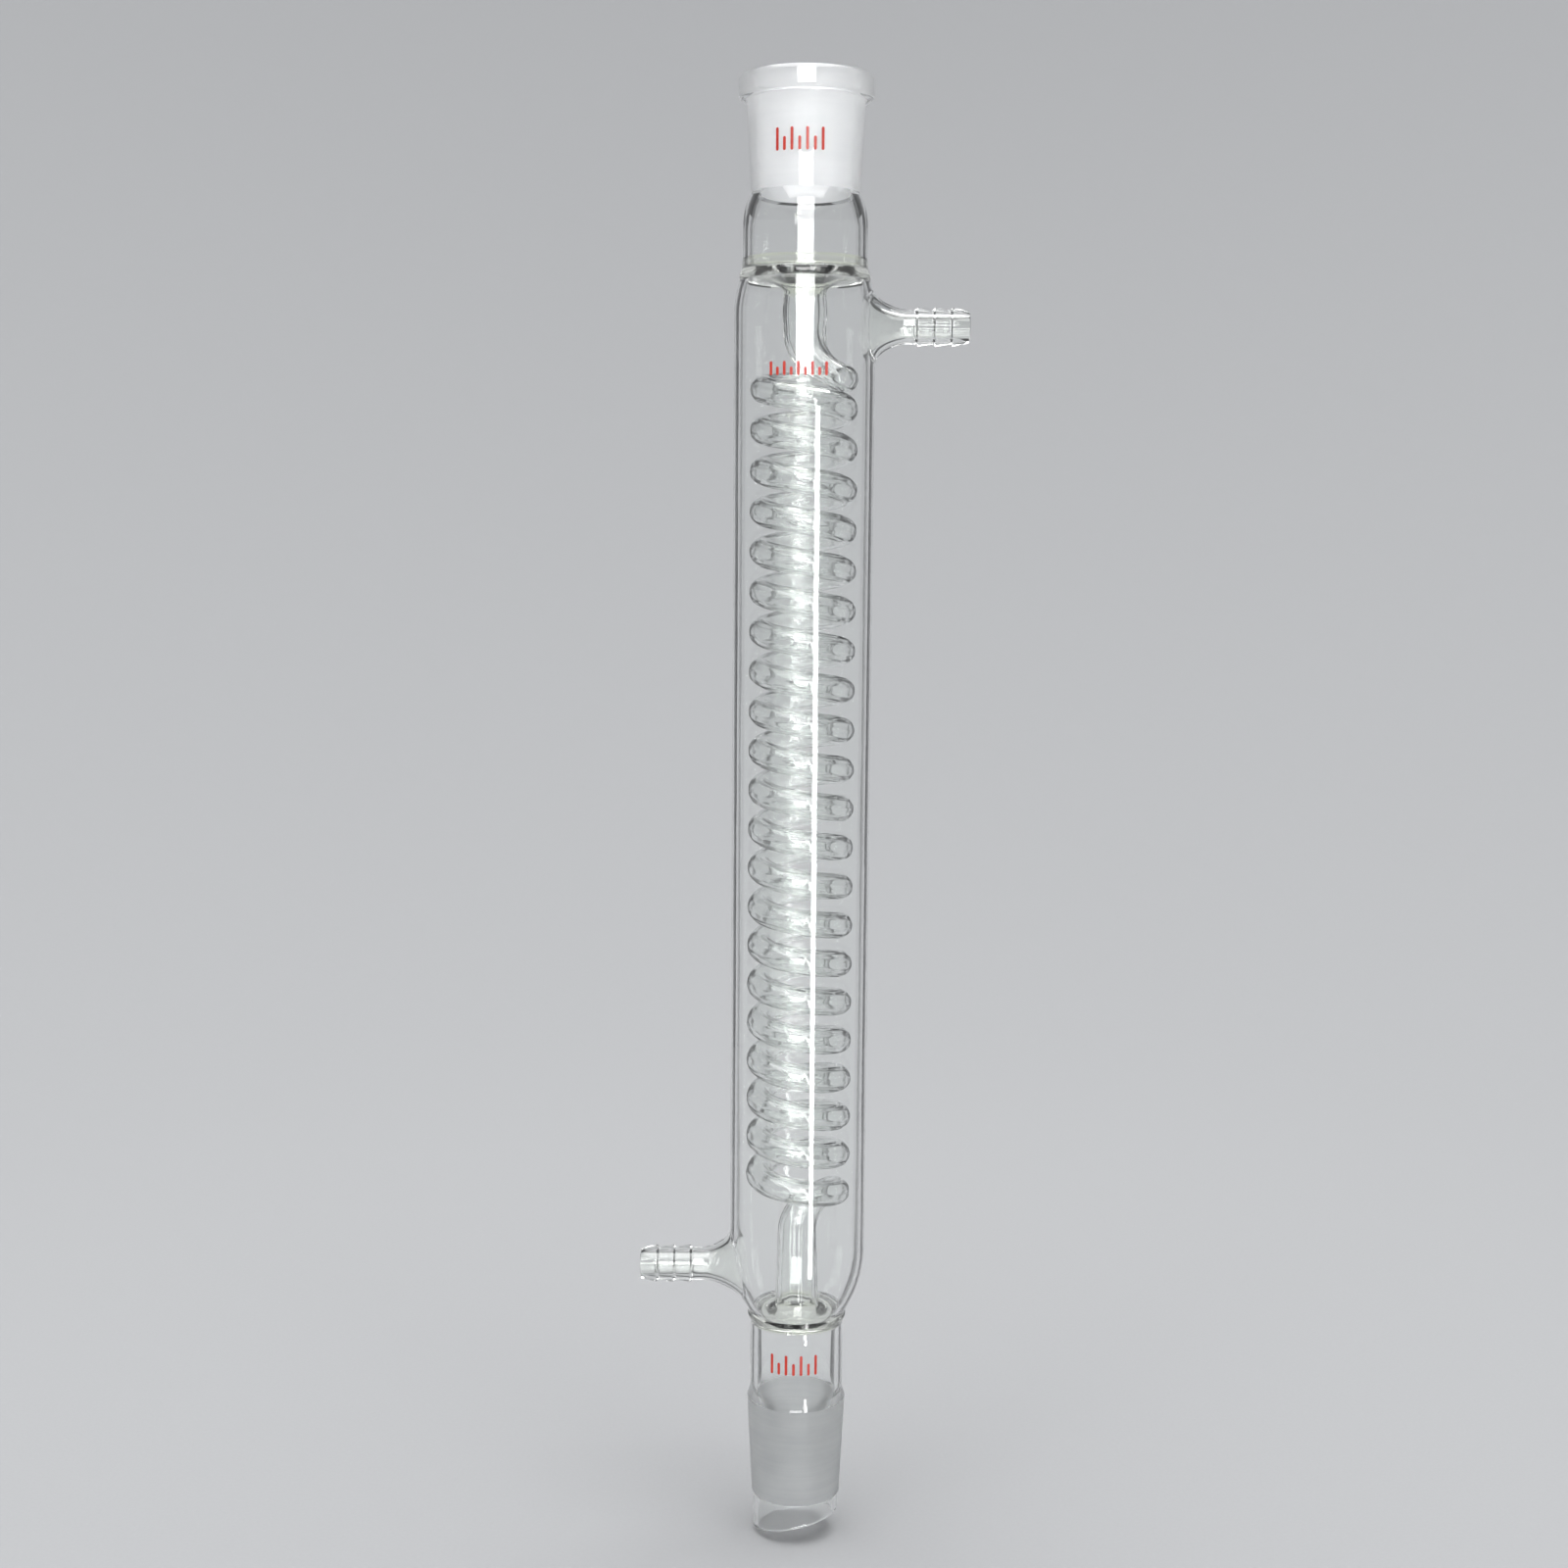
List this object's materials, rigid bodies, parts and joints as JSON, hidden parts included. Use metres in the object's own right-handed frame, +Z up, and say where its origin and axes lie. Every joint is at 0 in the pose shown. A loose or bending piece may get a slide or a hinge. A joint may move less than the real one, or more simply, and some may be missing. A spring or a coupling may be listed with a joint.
{
  "type": "coil condenser",
  "caption": "Glass laboratory condenser: water jacket with a hose nozzle at each end round a wound inner tube, ground socket above and ground cone with slanted drip tip below.",
  "frame": {"origin": "on the axis, at the large end of the ground cone, where the cone meets the rim of the socket it hangs in", "axes": "+Z up along the condenser's axis towards the ground socket, +X the way the upper hose nozzle points, -Y the front with the marks"},
  "size_m": [0.093, 0.0406, 0.4252],
  "materials": {
    "clear_glass": "clear, fire-polished borosilicate glass with bright edges",
    "coil_glass": "clear drawn glass tube, fire-polished",
    "nozzle_glass": "clear moulded glass with soft ridges",
    "seal_glass": "clear thick fused glass, pale yellow-green seen edge on",
    "ground_socket_glass": "ground inside to a fine white frost, outside glossy",
    "ground_cone_glass": "ground outside to an even grey-white frost, matt",
    "red_enamel": "red fired enamel print, slightly raised"
  },
  "bodies": {
    "root": {"socket_joint": "ground_socket_glass", "socket_neck": "clear_glass", "upper_ring_seal": "seal_glass", "jacket_tube": "clear_glass", "upper_nozzle": "nozzle_glass", "lower_nozzle": "nozzle_glass", "upper_stem": "coil_glass", "coil_tube": "coil_glass", "lower_stem": "coil_glass", "lower_ring_seal": "seal_glass", "cone_neck": "clear_glass", "ground_cone": "ground_cone_glass", "drip_tip": "clear_glass", "socket_size_mark": "red_enamel", "jacket_length_mark": "red_enamel", "cone_size_mark": "red_enamel"}
  },
  "joints": []
}
